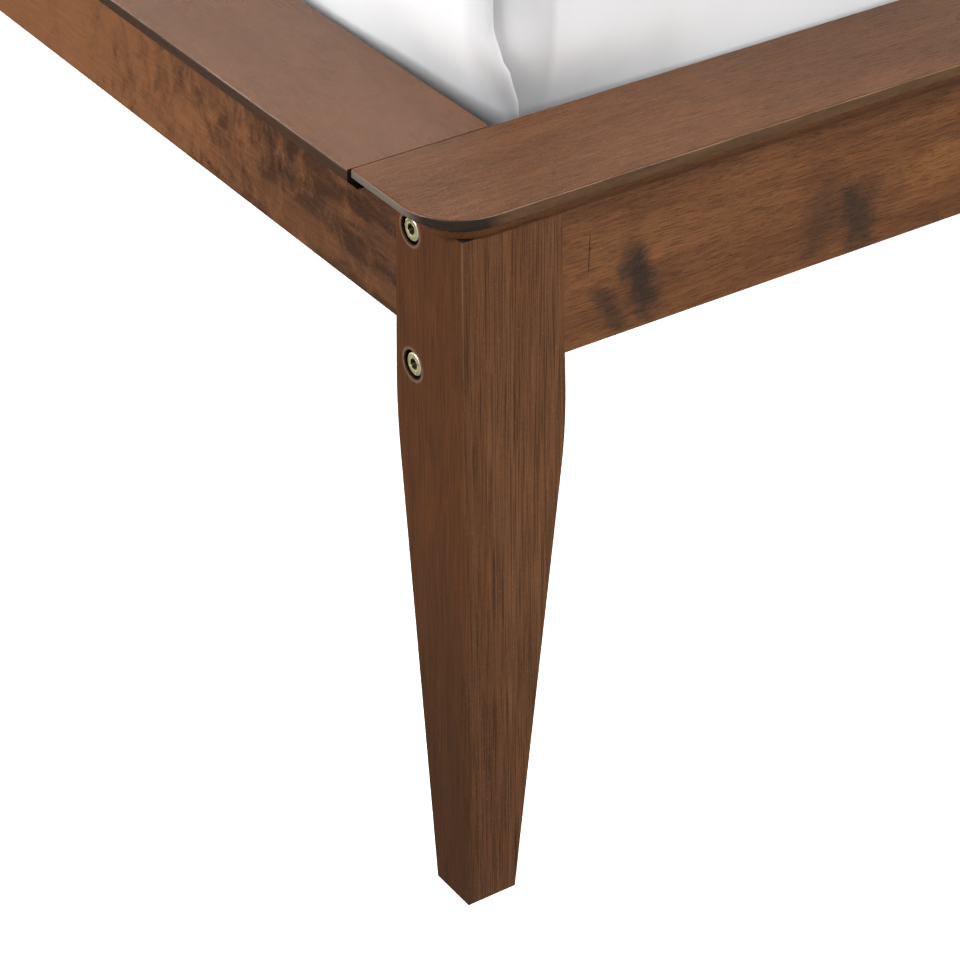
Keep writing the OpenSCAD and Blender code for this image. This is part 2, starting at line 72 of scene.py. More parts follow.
# ------------------------------------------------------------------ node helper
class Mat:
    """A small builder for procedural materials in object coordinates (metres)."""

    def __init__(self, name):
        self.mat = bpy.data.materials.new(name)
        self.mat.use_nodes = True
        self.t = self.mat.node_tree
        self.t.nodes.clear()
        out = self.node("ShaderNodeOutputMaterial")
        self.bsdf = self.node("ShaderNodeBsdfPrincipled")
        self.t.links.new(self.bsdf.outputs[0], out.inputs[0])
        self.co = self.node("ShaderNodeTexCoord").outputs["Object"]

    def node(self, kind, **kw):
        n = self.t.nodes.new(kind)
        for k, v in kw.items():
            setattr(n, k, v)
        return n

    def put(self, sock, v):
        if isinstance(v, bpy.types.NodeSocket):
            self.t.links.new(v, sock)
        elif isinstance(v, (tuple, list)) and len(v) == 3 and sock.type == "RGBA":
            sock.default_value = (*v, 1.0)
        else:
            sock.default_value = v

    def set(self, **kw):
        for k, v in kw.items():
            self.put(self.bsdf.inputs[k.replace("_", " ")], v)

    def math(self, op, a, b=0.0, c=0.0, clamp=False):
        n = self.node("ShaderNodeMath", operation=op, use_clamp=clamp)
        self.put(n.inputs[0], a)
        self.put(n.inputs[1], b)
        self.put(n.inputs[2], c)
        return n.outputs[0]

    def vec(self, op, a, b=(0.0, 0.0, 0.0), s=None):
        n = self.node("ShaderNodeVectorMath", operation=op)
        self.put(n.inputs[0], a)
        self.put(n.inputs[1], b)
        if s is not None:
            self.put(n.inputs["Scale"], s)
        return n.outputs[1] if op in ("LENGTH", "DISTANCE", "DOT_PRODUCT") else n.outputs[0]

    def split(self, v):
        return self.node_in("ShaderNodeSeparateXYZ", v).outputs

    def join(self, x, y, z):
        n = self.node("ShaderNodeCombineXYZ")
        for s, v in zip(n.inputs, (x, y, z)):
            self.put(s, v)
        return n.outputs[0]

    def node_in(self, kind, v, **kw):
        n = self.node(kind, **kw)
        self.put(n.inputs[0], v)
        return n

    def map(self, v, scale=(1, 1, 1), loc=(0, 0, 0), rot=(0, 0, 0)):
        n = self.node("ShaderNodeMapping")
        self.put(n.inputs["Vector"], v)
        n.inputs["Scale"].default_value = scale
        n.inputs["Location"].default_value = loc
        n.inputs["Rotation"].default_value = rot
        return n.outputs[0]

    def noise(self, v, scale=1.0, detail=2.0, rough=0.5, dist=0.0, colour=False):
        n = self.node("ShaderNodeTexNoise")
        self.put(n.inputs["Vector"], v)
        n.inputs["Scale"].default_value = scale
        n.inputs["Detail"].default_value = detail
        n.inputs["Roughness"].default_value = rough
        n.inputs["Distortion"].default_value = dist
        return n.outputs[1] if colour else n.outputs[0]

    def cells(self, v, scale=1.0, feature="F1", out="Distance", rand=1.0):
        n = self.node("ShaderNodeTexVoronoi", feature=feature)
        self.put(n.inputs["Vector"], v)
        n.inputs["Scale"].default_value = scale
        n.inputs["Randomness"].default_value = rand
        return n.outputs[out]

    def remap(self, v, a, b, c=0.0, d=1.0, smooth=False):
        n = self.node("ShaderNodeMapRange", clamp=True)
        n.interpolation_type = "SMOOTHSTEP" if smooth else "LINEAR"
        for s, x in zip(n.inputs[:5], (v, a, b, c, d)):
            self.put(s, x)
        return n.outputs[0]

    def mix(self, f, a, b, mode="MIX"):
        n = self.node("ShaderNodeMix", data_type="RGBA", blend_type=mode)
        self.put(n.inputs[0], f)
        self.put(n.inputs[6], a)
        self.put(n.inputs[7], b)
        return n.outputs[2]

    def ramp(self, f, *stops):
        n = self.node("ShaderNodeValToRGB")
        self.put(n.inputs[0], f)
        e = n.color_ramp.elements
        while len(e) < len(stops):
            e.new(0.5)
        for s, (p, c) in zip(e, stops):
            s.position = p
            s.color = (*c, 1.0)
        return n.outputs[0]

    def grey(self, v):
        return self.join(v, v, v)

    def bump(self, height, strength=0.5, distance=0.001, normal=None):
        n = self.node("ShaderNodeBump")
        self.put(n.inputs["Height"], height)
        n.inputs["Strength"].default_value = strength
        n.inputs["Distance"].default_value = distance
        if normal is not None:
            self.put(n.inputs["Normal"], normal)
        self.put(self.bsdf.inputs["Normal"], n.outputs[0])
        return n.outputs[0]


AX = {"X": 0, "Y": 1, "Z": 2}
STAIN = (0.119, 0.0470, 0.0182)


def tone(k, c=STAIN, red=0.0):
    return (c[0] * k * (1 + red), c[1] * k, c[2] * k * (1 - red))


def stretched(m, p, grain, along, across, seed, squeeze=(1, 1, 1)):
    s = [across * q for q in squeeze]
    s[AX[grain]] = along
    return m.map(p, scale=tuple(s), loc=(seed * 3.7, seed * 1.9 + 5.0, seed * 2.3 - 4.0))


def wood(
    name,
    grain,
    seed,
    base,
    contrast=0.25,
    pore=0.5,
    pore_scale=1500.0,
    pore_len=42.0,
    streak=0.35,
    mottle=0.3,
    amber=None,
    amber_at=(0.50, 0.68),
    mineral=None,
    rough=0.42,
    spec=0.28,
    spots=(),
    wave=0.004,
    squeeze=(1, 1, 1),
    red_side=None,
    across=20.0,
    ripple=0.0,
    marks=None,
    amber_k=0.6,
    peel=0.0,
):
    """Stained wood: figure, streaks, fibres, open pores, blotches. Colours are linear."""
    m = Mat(name)
    dark, light = tone(1 - contrast, base, 0.04), tone(1 + contrast, base, -0.04)
    wide = [0.0 if i == AX[grain] else 1.0 for i in range(3)]
    drift = m.noise(stretched(m, m.co, grain, 7.0, 30.0, seed + 11), 1.0, 3.0, 0.55, colour=True)
    drift = m.vec("MULTIPLY", m.vec("SUBTRACT", drift, (0.5, 0.5, 0.5)), tuple(2 * wave * w for w in wide))
    p = m.vec("ADD", m.co, drift)
    figure = m.noise(stretched(m, p, grain, 3.0, across, seed), 1.0, 4.0, 0.55, 0.4)
    bands = m.noise(stretched(m, p, grain, 7.0, 240.0, seed + 3, squeeze), 1.0, 4.0, 0.6)
    if ripple:
        jog = m.noise(m.map(m.co, scale=(90, 90, 90), loc=(seed, 3, 1)), 1.0, 3.0, 0.6, colour=True)
        jog = m.vec("MULTIPLY", m.vec("SUBTRACT", jog, (0.5, 0.5, 0.5)), tuple(2 * ripple * w for w in wide))
        p = m.vec("ADD", p, jog)
    fibre = m.noise(stretched(m, p, grain, 26.0, 1100.0, seed + 5, squeeze), 1.0, 3.0, 0.65)
    pores = m.noise(stretched(m, p, grain, pore_len, pore_scale, seed + 7, squeeze), 1.0, 2.0, 0.6)
    pores = m.remap(pores, 0.47, 0.62)
    cloud = m.noise(stretched(m, p, grain, 13.0, 26.0, seed + 9), 1.0, 5.0, 0.62, 0.6)
    c = m.ramp(figure, (0.32, dark), (0.50, base), (0.68, light))
    b_dark, b_light = m.remap(bands, 0.46, 0.74, 0.0, streak), m.remap(bands, 0.50, 0.26, 0.0, streak * 0.8)
    if red_side:
        nx = m.math("ABSOLUTE", m.split(m.node("ShaderNodeNewGeometry").outputs["True Normal"])[0])
        c = m.mix(nx, c, m.mix(m.remap(cloud, 0.35, 0.65), red_side, tone(0.80, red_side, 0.06)))
        plain = m.math("SUBTRACT", 1.0, m.math("MULTIPLY", nx, 0.55))
        b_dark, b_light, pores = (m.math("MULTIPLY", v, plain) for v in (b_dark, b_light, pores))
        # painted shade: darker towards the floor, more on the side faces
        low = m.remap(m.split(m.co)[2], 0.04, 0.30, 0.0, 1.0, True)
        low = m.math("MULTIPLY", m.math("SUBTRACT", 1.0, low), m.math("ADD", 0.16, m.math("MULTIPLY", nx, 0.34)))
        c = m.mix(low, c, (0.006, 0.0025, 0.001))
    c = m.mix(b_dark, c, tone(0.50, dark))
    c = m.mix(b_light, c, tone(1.25, light))
    c = m.mix(m.remap(cloud, 0.44, 0.68, 0.0, mottle, True), c, tone(0.62, dark, -0.10))
    if amber:
        hue = m.noise(stretched(m, p, grain, 9.0, 40.0, seed + 13), 1.0, 5.0, 0.62, 0.7)
        c = m.mix(m.remap(hue, amber_at[0], amber_at[1], 0.0, amber_k, True), c, amber)
    if mineral:
        spot = m.noise(stretched(m, m.co, grain, 6.0, 13.0, seed + 17), 1.0, 5.0, 0.66, 0.8)
        c = m.mix(m.remap(spot, 0.62, 0.76, 0.0, 0.72, True), c, mineral)
    ragged = None
    for centre, size, tilt, strength, colour in spots:
        if ragged is None:
            ragged = m.noise(m.map(m.co, scale=(42, 60, 42)), 1.0, 5.0, 0.72, 0.6, colour=True)
            ragged = m.vec("MULTIPLY", m.vec("SUBTRACT", ragged, (0.5, 0.5, 0.5)), (2.2, 2.2, 2.2))
        q = m.vec("SUBTRACT", m.co, tuple(centre))
        q = m.map(q, rot=(0.0, math.radians(tilt), 0.0))
        q = m.vec("ADD", m.vec("MULTIPLY", q, tuple(1 / t for t in size)), ragged)
        c = m.mix(m.remap(m.vec("LENGTH", q), 1.25, 0.30, 0.0, strength, True), c, colour)
    c = m.mix(m.remap(fibre, 0.30, 0.72, 0.0, 0.42), c, m.mix(0.62, c, (0.010, 0.004, 0.002)))
    c = m.mix(m.math("MULTIPLY", pores, pore), c, m.mix(0.80, c, (0.008, 0.004, 0.002)))
    speck = m.noise(m.map(m.co, scale=(900, 900, 900), loc=(seed, 1, 0)), 1.0, 3.0, 0.7)
    c = m.mix(m.remap(speck, 0.42, 0.28, 0.0, 0.60), c, m.mix(0.5, c, (0.010, 0.006, 0.004)))
    c = m.mix(m.remap(speck, 0.58, 0.72, 0.0, 0.50), c, m.mix(0.5, c, (0.30, 0.20, 0.13)))
    if marks:
        c = marks(m, c)
    gloss = m.noise(m.map(m.co, scale=(9, 9, 9), loc=(seed, 0, 0)), 1.0, 3.0, 0.5)
    r = m.math("ADD", m.remap(gloss, 0.3, 0.7, rough - 0.04, rough + 0.06), m.math("MULTIPLY", pores, 0.10))
    m.set(Base_Color=c, Roughness=r)
    m.bsdf.inputs["Specular IOR Level"].default_value = spec
    h = m.math("SUBTRACT", m.math("MULTIPLY", fibre, 0.5), m.math("MULTIPLY", pores, pore))
    if peel:
        grit = m.noise(m.map(m.co, scale=(1500, 1500, 1500), loc=(seed, 2, 5)), 1.0, 3.0, 0.7)
        h = m.math("ADD", h, m.math("MULTIPLY", grit, peel))
    m.bump(h, 0.5, 0.00018)
    return m.mat


# ------------------------------------------------------------------ mesh helpers
def link(name, mesh):
    o = bpy.data.objects.new(name, mesh)
    scene.collection.objects.link(o)
    return o


def dress(o, mat):
    if o.data.materials:
        for i in range(len(o.data.materials)):
            o.data.materials[i] = mat
    else:
        o.data.materials.append(mat)


def shade(o, sharp=35.0):
    me = o.data
    me.shade_smooth()
    bm = bmesh.new()
    bm.from_mesh(me)
    for e in bm.edges:
        e.smooth = not (len(e.link_faces) == 2 and e.calc_face_angle(0.0) > math.radians(sharp))
    bm.to_mesh(me)
    bm.free()


def softened(node, width, pick, name=None, segs=3, dissolve=0.8):
    """A copy of a CAD node with its worn arrises rounded; pick(edge) gives 0..1 of width."""
    src = NODES[node]
    me = src.data.copy()
    o = link(name or node + "_wood", me)
    bm = bmesh.new()
    bm.from_mesh(me)
    bmesh.ops.remove_doubles(bm, verts=bm.verts, dist=1e-5)
    bmesh.ops.dissolve_limit(bm, angle_limit=math.radians(dissolve), verts=bm.verts, edges=bm.edges)
    lay = bm.edges.layers.float.get("bevel_weight_edge") or bm.edges.layers.float.new("bevel_weight_edge")
    for e in bm.edges:
        if len(e.link_faces) == 2 and e.calc_face_angle(0.0) > math.radians(25):
            e[lay] = pick(e)
    bm.to_mesh(me)
    bm.free()
    b = o.modifiers.new("arris", "BEVEL")
    b.limit_method = "WEIGHT"
    b.width = width
    b.segments = segs
    b.use_clamp_overlap = True
    shade(o, 40.0)
    b.harden_normals = True
    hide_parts(node)
    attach(o, "frame")
    return o


def cad_soft(node, width, angle=30.0, segs=2):
    """Small rounded arrises on a CAD node, by modifiers only."""
    o = NODES[node]
    w = o.modifiers.new("weld", "WELD")
    w.merge_threshold = 2e-5
    d = o.modifiers.new("planar", "DECIMATE")
    d.decimate_type = "DISSOLVE"
    d.angle_limit = math.radians(0.5)
    b = o.modifiers.new("arris", "BEVEL")
    b.limit_method = "ANGLE"
    b.angle_limit = math.radians(angle)
    b.width = width
    b.segments = segs
    b.harden_normals = True
    return o


# ------------------------------------------------------------------ wood finishes
XL, YL, YH = 0.84, -1.178420, 0.947080
B_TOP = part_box("fitted_sheet")[1][2]
AMBER, MINERAL = (0.215, 0.090, 0.033), (0.048, 0.029, 0.019)
KNOTS = [
    ((-0.7045, YL + 0.035, 0.343), (0.0115, 0.03, 0.034), 16, 0.88, (0.038, 0.026, 0.019)),
    ((-0.7250, YL + 0.035, 0.331), (0.0075, 0.03, 0.024), 30, 0.62, (0.045, 0.028, 0.019)),
    ((-0.5560, YL + 0.035, 0.336), (0.0130, 0.03, 0.036), 12, 0.80, (0.042, 0.028, 0.019)),
    ((-0.5790, YL + 0.035, 0.345), (0.0150, 0.03, 0.030), -10, 0.55, (0.060, 0.034, 0.021)),
    ((-0.6400, YL + 0.035, 0.362), (0.0300, 0.03, 0.009), 4, 0.60, AMBER),
    ((-0.6560, YL + 0.035, 0.340), (0.0250, 0.03, 0.009), -3, 0.60, AMBER),
    ((-0.4980, YL + 0.035, 0.352), (0.0220, 0.03, 0.016), 6, 0.75, (0.30, 0.130, 0.038)),
    ((-0.7230, YL + 0.035, 0.352), (0.0040, 0.03, 0.026), 24, 0.55, AMBER),
]


def leg_marks(m, c):
    """Painted highlight along the outer arris with a darker band beside it, and painted shade on the leg tops under
    the caps and inside the counterbores, with a lighter ring round each.
    """
    x, y, z = m.split(m.co)[:3]
    ax = m.math("ABSOLUTE", x)
    dx = m.math("ABSOLUTE", m.math("SUBTRACT", ax, XL))
    dy = m.math("ABSOLUTE", m.math("SUBTRACT", y, YL))
    d = m.math("MAXIMUM", dx, dy)
    n = m.noise(m.map(m.co, scale=(300, 300, 22)), 1.0, 4.0, 0.65)
    # painted shade: the leg tops under the lapped caps are painted near-black
    top = m.math("MULTIPLY", m.math("GREATER_THAN", z, 0.4226), m.math("LESS_THAN", z, 0.4245))
    c = m.mix(m.math("MULTIPLY", top, m.math("MULTIPLY", m.math("LESS_THAN", y, 0.0), 0.97)), c, (0.005, 0.004, 0.003))
    # a darker band on the faces beside the outer arris
    arris_dark_band = m.math("MULTIPLY", m.remap(dx, 0.0055, 0.0012, 0.0, 0.40, True), m.remap(n, 0.35, 0.6))
    c = m.mix(arris_dark_band, c, tone(0.45))
    # painted highlight: a lighter line along the outer arris, strongest towards the top
    painted_arris_highlight = m.math("MULTIPLY", m.remap(d, 0.00055, 0.00025, 0.0, 0.42), m.math("MULTIPLY", m.remap(n, 0.38, 0.60, 0.25, 1.0), m.remap(z, 0.33, 0.405, 0.05, 1.0)))
    c = m.mix(painted_arris_highlight, c, (0.34, 0.20, 0.125))
    for by in (YL + 0.0475, YH + 0.0125):
        for bz in (0.409, 0.330):
            q = m.vec("MULTIPLY", m.vec("SUBTRACT", m.co, (0.0, by, bz)), (0.0, 1.0, 1.0))
            r = m.vec("LENGTH", q)
            # painted shade: the inside of each counterbore is painted near-black
            inside = m.math("MULTIPLY", m.remap(r, 0.0088, 0.0084), m.remap(ax, XL - 0.0004, XL - 0.0012))
            ring = m.math("MULTIPLY", m.remap(m.math("ABSOLUTE", m.math("SUBTRACT", r, 0.0092)), 0.0011, 0.0003, 0.0, 0.30), m.remap(ax, XL - 0.0012, XL - 0.0004))
            c = m.mix(ring, c, (0.32, 0.22, 0.15))
            c = m.mix(m.math("MULTIPLY", inside, 0.97), c, (0.004, 0.003, 0.002))
    return c


def side_rail_marks(m, c):
    """Unlit top of the rail inside the lap of the caps."""
    x, y, z = m.split(m.co)[:3]
    k = m.math("MULTIPLY", m.math("GREATER_THAN", z, 0.4224), m.math("LESS_THAN", y, YL + 0.078))
    return m.mix(m.math("MULTIPLY", k, 0.97), c, (0.005, 0.004, 0.003))


def rail_marks(m, c):
    """A short drying check near the end of the board."""
    x, y, z = m.split(m.co)[:3]
    n = m.noise(m.map(m.co, scale=(10, 10, 90)), 1.0, 3.0, 0.6)
    at = m.math("ADD", m.math("MULTIPLY", m.math("SUBTRACT", n, 0.5), 0.0035), -0.7378)
    d = m.math("ABSOLUTE", m.math("SUBTRACT", x, at))
    k = m.math("MULTIPLY", m.remap(d, 0.00055, 0.00015), m.math("MULTIPLY", m.remap(z, 0.354, 0.362), m.remap(z, 0.384, 0.376)))
    return m.mix(m.math("MULTIPLY", k, 0.85), c, (0.010, 0.005, 0.003))


def side_cap_marks(m, c):
    """Painted shade on the outer edge face, on the lapped part under the foot cap and on the end face, and a painted
    highlight along the top arris.
    """
    x, y, z = m.split(m.co)[:3]
    nx = m.math("ABSOLUTE", m.split(m.node("ShaderNodeNewGeometry").outputs["True Normal"])[0])
    n = m.noise(m.map(m.co, scale=(300, 16, 300)), 1.0, 4.0, 0.65)
    # painted shade: the outer edge face is painted darker
    c = m.mix(m.math("MULTIPLY", m.remap(nx, 0.80, 0.97), m.remap(n, 0.3, 0.7, 0.60, 0.92)), c, (0.030, 0.017, 0.010))
    # painted shade: the lapped part under the foot cap is painted near-black
    painted_tongue_shade = m.math("MULTIPLY", m.math("LESS_THAN", y, YL + 0.0762), m.math("LESS_THAN", z, 0.4312))
    c = m.mix(m.math("MULTIPLY", painted_tongue_shade, 0.97), c, (0.006, 0.004, 0.003))
    # painted shade: the end face in the joint is painted near-black
    ny = m.math("ABSOLUTE", m.split(m.node("ShaderNodeNewGeometry").outputs["True Normal"])[1])
    c = m.mix(m.remap(ny, 0.80, 0.95, 0.0, 0.93), c, (0.006, 0.004, 0.003))
    # painted highlight: a lighter line along the top arris, brighter further along the rail
    painted_lip_highlight = m.math("MULTIPLY", m.remap(z, 0.43485, 0.4352), m.remap(nx, 0.12, 0.40))
    painted_lip_highlight = m.math("MULTIPLY", painted_lip_highlight, m.math("MULTIPLY", m.remap(n, 0.35, 0.55, 0.35, 1.0), m.remap(y, YL + 0.09, YL + 0.45, 0.30, 0.95)))
    return m.mix(painted_lip_highlight, c, (0.46, 0.36, 0.29))


foot_rail_mat = wood("walnut_foot_rail", "X", 1.0, tone(1.84), 0.26, pore=0.55, pore_scale=1500, pore_len=75, streak=0.36, mottle=0.62, amber=tone(1.12, AMBER), mineral=MINERAL, wave=0.004, spots=KNOTS, across=30.0, ripple=0.0009, marks=rail_marks)
leg_mat = wood("walnut_legs", "Z", 2.0, tone(1.56, (0.117, 0.0480, 0.0205)), 0.14, pore=0.80, pore_scale=3100, pore_len=20, streak=0.24, mottle=0.16, wave=0.0010, squeeze=(1.0, 0.22, 1.0), spec=0.16, red_side=tone(1.04, (0.118, 0.0395, 0.0105)), across=34.0, marks=leg_marks)
side_rail_mat = wood("walnut_side_rails", "Y", 3.0, tone(0.52), 0.36, pore=0.10, pore_scale=1000, streak=0.10, mottle=0.66, amber=tone(1.45, red=0.02), amber_at=(0.46, 0.62), wave=0.006, rough=0.50, spec=0.2, marks=side_rail_marks, spots=[((sx * 0.805, YL + 0.60, 0.36), (0.3, 0.38, 0.20), 0, 0.90, tone(2.10)) for sx in (-1, 1)])
foot_cap_mat = wood("walnut_foot_cap", "X", 4.0, tone(1.08, (0.122, 0.0475, 0.0172)), 0.17, pore=0.46, pore_scale=1900, pore_len=80, streak=0.24, mottle=0.26, wave=0.003, rough=0.31, spec=0.13, ripple=0.0003, peel=0.9)
side_cap_mat = wood("walnut_side_caps", "Y", 5.0, tone(1.08, (0.122, 0.0475, 0.0172)), 0.14, pore=0.32, pore_scale=1900, pore_len=80, streak=0.16, mottle=0.24, wave=0.003, rough=0.25, spec=0.22, ripple=0.0003, peel=0.8, marks=side_cap_marks)
head_mat = wood("walnut_headboard", "X", 6.0, tone(1.22), 0.28, pore=0.5, pore_scale=1000, pore_len=45, streak=0.42, mottle=0.40, amber=AMBER, mineral=MINERAL, wave=0.008)
PINE = (0.53, 0.335, 0.185)


def pale(name, grain, seed):
    m = wood(name, grain, seed, PINE, 0.14, pore=0.10, streak=0.22, mottle=0.10, rough=0.55)
    return m


def cap_edge():
    """Sealed, darker and glossier board edge, with a painted grey reflection on its left end, painted shade on the
    rounded corner and a painted highlight along the top arris.
    """
    m = Mat("walnut_cap_edge")
    n = m.noise(m.map(m.co, scale=(30, 30, 260)), 1.0, 4.0, 0.6)
    f = m.noise(m.map(m.co, scale=(220, 220, 900)), 1.0, 3.0, 0.6)
    c = m.ramp(n, (0.32, (0.085, 0.042, 0.018)), (0.68, (0.135, 0.066, 0.027)))
    c = m.mix(m.remap(f, 0.45, 0.75, 0.0, 0.4), c, (0.016, 0.010, 0.007))
    x, y, z = m.split(m.co)[:3]
    ax = m.math("ABSOLUTE", x)
    # painted reflection: a grey sheen painted on the left end of the edge
    grey = m.math("MULTIPLY", m.remap(ax, XL + 0.0118, XL + 0.0160), m.remap(y, YL + 0.012, YL + 0.030))
    c = m.mix(m.math("MULTIPLY", grey, m.remap(f, 0.30, 0.60, 0.35, 0.90)), c, (0.155, 0.140, 0.115))
    # painted shade: the rounded corner of the edge is painted near-black
    painted_corner_shade = m.math("MULTIPLY", m.remap(ax, XL - 0.024, XL - 0.011), m.remap(y, YL + 0.024, YL + 0.014))
    c = m.mix(m.math("MULTIPLY", painted_corner_shade, m.remap(n, 0.3, 0.7, 0.95, 0.75)), c, (0.009, 0.007, 0.006))
    # painted highlight: a lighter line along the top arris, held back on the corner
    painted_lip_highlight = m.remap(z, 0.4348, 0.4353)
    painted_lip_highlight = m.math("MULTIPLY", painted_lip_highlight, m.math("SUBTRACT", 1.0, m.math("MULTIPLY", painted_corner_shade, 0.92)))
    c = m.mix(m.math("MULTIPLY", painted_lip_highlight, m.remap(n, 0.42, 0.62, 0.05, 0.60)), c, (0.28, 0.17, 0.11))
    m.set(Base_Color=c, Roughness=m.remap(n, 0.3, 0.7, 0.26, 0.36))
    m.bsdf.inputs["Coat Weight"].default_value = 0.12
    m.bsdf.inputs["Coat Roughness"].default_value = 0.22
    m.bump(f, 0.25, 0.0002)
    return m.mat


edge_mat = cap_edge()
pine_mat, pine_y_mat, pine_z_mat = pale("pale_deck_wood", "X", 7.0), pale("pale_deck_wood_long", "Y", 8.0), pale("pale_deck_wood_tall", "Z", 9.0)


def zinc(name, a, b, rough, metal=1.0):
    m = Mat(name)
    n = m.noise(m.map(m.co, scale=(260, 260, 260)), 1.0, 4.0, 0.6, 0.5)
    c = m.ramp(n, (0.30, a), (0.70, b))
    m.set(Base_Color=c, Roughness=m.remap(n, 0.3, 0.7, rough - 0.06, rough + 0.1))
    m.bsdf.inputs["Metallic"].default_value = metal
    m.bump(m.noise(m.map(m.co, scale=(1400, 1400, 1400)), 1.0, 2.0), 0.12, 0.0001)
    return m.mat


yellow_mat = zinc("yellow_zinc", (0.60, 0.52, 0.27), (0.84, 0.80, 0.55), 0.34, 0.55)
steel_mat = zinc("zinc_plate", (0.45, 0.46, 0.48), (0.66, 0.67, 0.70), 0.36)


def plastic():
    m = Mat("moulded_plastic")
    n = m.noise(m.map(m.co, scale=(420, 420, 420)), 1.0, 3.0, 0.6)
    m.set(Base_Color=m.ramp(n, (0.3, (0.016, 0.016, 0.018)), (0.7, (0.030, 0.030, 0.033))), Roughness=m.remap(n, 0.3, 0.7, 0.45, 0.62))
    m.bump(n, 0.3, 0.0003)
    return m.mat


def webbing():
    m = Mat("woven_webbing")
    xyz = m.split(m.co)
    a = m.math("SINE", m.math("MULTIPLY", xyz[0], 2 * math.pi / 0.0022))
    b = m.math("SINE", m.math("MULTIPLY", xyz[1], 2 * math.pi / 0.0030))
    w = m.remap(m.math("MULTIPLY", a, b), -1.0, 1.0)
    n = m.noise(m.map(m.co, scale=(60, 20, 60)), 1.0, 3.0)
    m.set(Base_Color=m.mix(w, m.ramp(n, (0.3, (0.56, 0.53, 0.46)), (0.7, (0.62, 0.60, 0.53))), (0.74, 0.72, 0.66)), Roughness=m.remap(w, 0, 1, 0.8, 0.9))
    m.bump(w, 0.6, 0.0006)
    return m.mat


def cloth(name, base, shade_c, pitch, sheen=0.15, marks=None):
    m = Mat(name)
    xyz = m.split(m.co)
    wob = m.math("MULTIPLY", m.noise(m.map(m.co, scale=(30, 30, 30)), 1.0, 2.0), 0.003)
    k = 2 * math.pi / pitch
    a = m.math("SINE", m.math("MULTIPLY", m.math("ADD", m.math("ADD", xyz[0], xyz[1]), wob), k))
    b = m.math("SINE", m.math("MULTIPLY", m.math("ADD", xyz[2], m.math("ADD", m.math("MULTIPLY", m.math("SUBTRACT", xyz[1], xyz[0]), 0.5), wob)), k))
    w = m.remap(m.math("MULTIPLY", a, b), -1.0, 1.0)
    slub = m.noise(m.map(m.co, scale=(70, 70, 900)), 1.0, 3.0)
    big = m.noise(m.map(m.co, scale=(6, 6, 6)), 1.0, 4.0)
    c = m.mix(m.remap(big, 0.35, 0.65, 0.0, 0.5), base, shade_c)
    c = m.mix(m.remap(w, 0, 1, 0.05, 0.0), c, tuple(0.8 * q for q in shade_c))
    if marks:
        c = marks(m, c)
    m.set(Base_Color=c, Roughness=m.remap(slub, 0.3, 0.7, 0.82, 0.92))
    m.bsdf.inputs["Sheen Weight"].default_value = sheen
    m.bsdf.inputs["Sheen Roughness"].default_value = 0.5
    h = m.math("ADD", m.math("MULTIPLY", w, 0.5), m.math("MULTIPLY", slub, 0.6))
    m.bump(h, 0.25, 0.0002)
    return m.mat


def bolt_finish():
    """Yellow-passivated zinc: bright machined face, painted shade in the hex socket, painted highlights at the
    socket's edge and the head's rim.
    """
    m = Mat("yellow_zinc_bolt")
    x, y, z = m.split(m.co)[:3]
    r = None
    for by in (YL + 0.0475, YH + 0.0125):
        for bz in (0.409, 0.330):
            q = m.vec("LENGTH", m.vec("MULTIPLY", m.vec("SUBTRACT", m.co, (0.0, by, bz)), (0.0, 1.0, 1.0)))
            r = q if r is None else m.math("MINIMUM", r, q)
    n = m.noise(m.map(m.co, scale=(500, 500, 500)), 1.0, 4.0, 0.65, 0.6)
    turned = m.math("SINE", m.math("MULTIPLY", r, 2 * math.pi / 0.00045))
    c = m.ramp(n, (0.30, (0.26, 0.21, 0.08)), (0.50, (0.42, 0.36, 0.16)), (0.70, (0.62, 0.58, 0.34)))
    # painted highlight: a light ring at the edge of the socket
    c = m.mix(m.remap(m.math("ABSOLUTE", m.math("SUBTRACT", r, 0.0036)), 0.0004, 0.0001, 0.0, 0.8), c, (0.80, 0.78, 0.58))
    # painted shade: the hex socket is painted dark, less so towards its middle
    c = m.mix(m.remap(r, 0.00345, 0.0031, 0.0, 0.94), c, (0.050, 0.034, 0.012))
    c = m.mix(m.remap(r, 0.0026, 0.0012, 0.0, 0.85), c, (0.20, 0.14, 0.055))
    # painted highlight: a light ring on the head's rim
    c = m.mix(m.remap(m.math("ABSOLUTE", m.math("SUBTRACT", r, 0.0060)), 0.0005, 0.0001, 0.0, 0.75), c, (0.85, 0.84, 0.68))
    m.set(Base_Color=c, Roughness=m.remap(n, 0.3, 0.7, 0.26, 0.42))
    m.bsdf.inputs["Metallic"].default_value = 0.45
    m.bump(m.math("ADD", m.math("MULTIPLY", turned, 0.3), n), 0.25, 0.00012)
    return m.mat


bolt_mat = bolt_finish()
plastic_mat, webbing_mat = plastic(), webbing()


